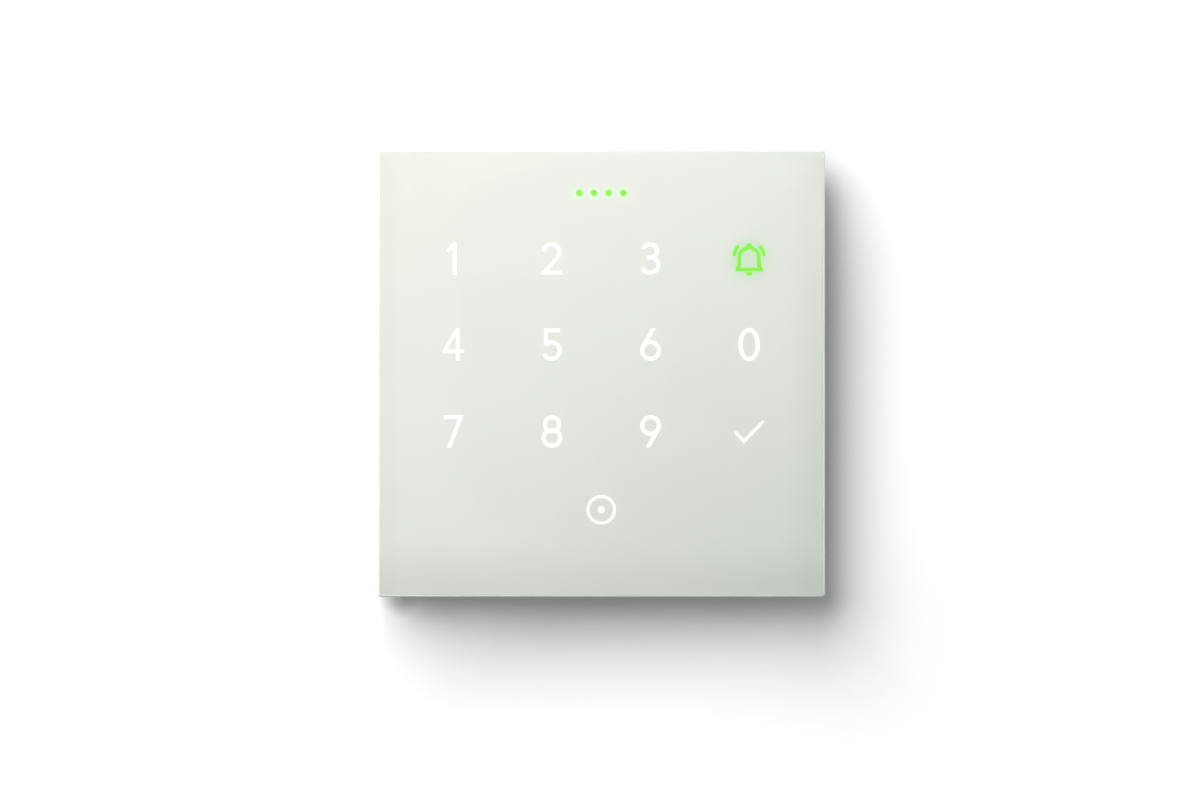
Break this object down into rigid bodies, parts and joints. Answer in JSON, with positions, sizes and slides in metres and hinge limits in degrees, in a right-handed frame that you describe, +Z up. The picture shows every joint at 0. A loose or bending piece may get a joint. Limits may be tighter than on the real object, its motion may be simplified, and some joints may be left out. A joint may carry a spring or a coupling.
{
  "type": "alarm keypad panel",
  "caption": "Square wall-mounted glass touch keypad with back-lit digits, bell and tick symbols, status lights, rear housing, pull-off terminal and hook-on wall bracket.",
  "frame": {"origin": "centre of the wall bracket's screw pattern, on the wall plane y = 0", "axes": "+Z up, the glass front faces -Y, the wall is behind at +Y, +X to the right as seen by the user"},
  "size_m": [0.094, 0.015, 0.094],
  "materials": {
    "clear_glass": "polished, ground edges",
    "offwhite_ink": "screen-printed ink, even",
    "lit_white_ink": "translucent ink, lit",
    "lit_green_ink": "translucent ink, lit",
    "milky_film": "matt film",
    "foam_tape": "closed-cell foam",
    "white_moulding": "moulded, fine texture",
    "board_laminate": "solder mask, satin",
    "copper": "etched copper",
    "white_led": "resin over phosphor",
    "green_led": "clear resin",
    "ferrite": "sintered",
    "chip_epoxy": "moulded epoxy",
    "tinned_metal": "bright tin",
    "nickel_can": "satin",
    "aluminium_can": "satin",
    "capacitor_ceramic": "sintered",
    "black_plastic": "moulded",
    "green_plastic": "moulded, satin",
    "spring_steel": "drawn wire",
    "zinc_screw": "zinc plated",
    "housing_plastic": "fine spark-eroded texture",
    "seal_foam": "open foam",
    "label_foil": "satin foil",
    "white_plastic": "moulded",
    "orange_plastic": "moulded",
    "bracket_steel": "zinc plated sheet",
    "nylon_washer": "moulded"
  },
  "bodies": {
    "wall_side": {"wall_bracket": "bracket_steel", "lock_nut": "zinc_screw"},
    "front_unit": {"glass_front": "clear_glass", "icon_print_layer": "offwhite_ink", "white_icon_ink": "lit_white_ink", "green_icon_ink": "lit_green_ink", "diffuser_film": "milky_film", "glass_bond_frame": "foam_tape", "light_separator": "white_moulding", "main_pcb": "board_laminate", "touch_pads": "copper", "antenna_coil": "copper", "icon_leds": "white_led", "status_leds": "green_led", "ferrite_strips": "ferrite", "mcu_chip": "chip_epoxy", "touch_controller_chip": "chip_epoxy", "reader_chip": "chip_epoxy", "bus_driver_chip": "chip_epoxy", "chip_leads": "tinned_metal", "crystal_can": "nickel_can", "power_inductor": "ferrite", "buffer_capacitors": "aluminium_can", "ceramic_capacitors": "capacitor_ceramic", "buzzer": "black_plastic", "terminal_header": "green_plastic", "header_pins": "tinned_metal", "tamper_switch_case": "black_plastic", "tamper_spring": "spring_steel", "pcb_screws": "zinc_screw", "rear_housing": "housing_plastic", "entry_seal": "seal_foam", "rating_label": "label_foil"},
    "tamper_pin": {"tamper_plunger": "white_plastic"},
    "plug": {"terminal_plug": "green_plastic", "clamp_springs": "spring_steel"},
    "button_1": {"release_button_1": "orange_plastic"},
    "button_2": {"release_button_2": "orange_plastic"},
    "button_3": {"release_button_3": "orange_plastic"},
    "button_4": {"release_button_4": "orange_plastic"},
    "washer": {"lock_washer": "nylon_washer"},
    "screw": {"lock_screw": "zinc_screw"}
  },
  "joints": [
    {"name": "front_swing", "type": "hinge", "parent": "wall_side", "child": "front_unit", "pos_m": [0, -0.00135, 0.043], "axis": [-1, 0, 0], "range_deg": [0, 12]},
    {"name": "tamper_press", "type": "slide", "parent": "front_unit", "child": "tamper_pin", "axis": [0, -1, 0], "range_m": [0, 0.0015], "stiffness_N_per_m": 300, "deforming": ["tamper_spring"]},
    {"name": "plug_pull", "type": "slide", "parent": "front_unit", "child": "plug", "axis": [0, 1, 0], "range_m": [0, 0.008]},
    {"name": "release_press_1", "type": "slide", "parent": "plug", "child": "button_1", "axis": [0, -1, 0], "range_m": [0, 0.0007], "stiffness_N_per_m": 300},
    {"name": "release_press_2", "type": "slide", "parent": "plug", "child": "button_2", "axis": [0, -1, 0], "range_m": [0, 0.0007], "stiffness_N_per_m": 300},
    {"name": "release_press_3", "type": "slide", "parent": "plug", "child": "button_3", "axis": [0, -1, 0], "range_m": [0, 0.0007], "stiffness_N_per_m": 300},
    {"name": "release_press_4", "type": "slide", "parent": "plug", "child": "button_4", "axis": [0, -1, 0], "range_m": [0, 0.0007], "stiffness_N_per_m": 300},
    {"name": "lock_washer_drop", "type": "slide", "parent": "wall_side", "child": "washer", "axis": [0, 0, -1], "range_m": [0, 0.00225]},
    {"name": "lock_screw_turn", "type": "hinge", "parent": "washer", "child": "screw", "pos_m": [0, -0.0039, -0.0455], "axis": [0, 0, -1], "range_deg": [0, 1800]}
  ],
  "couplings": [
    {"joint": "lock_screw_turn", "follows": "lock_washer_drop", "rad_per_m": 13963}
  ]
}
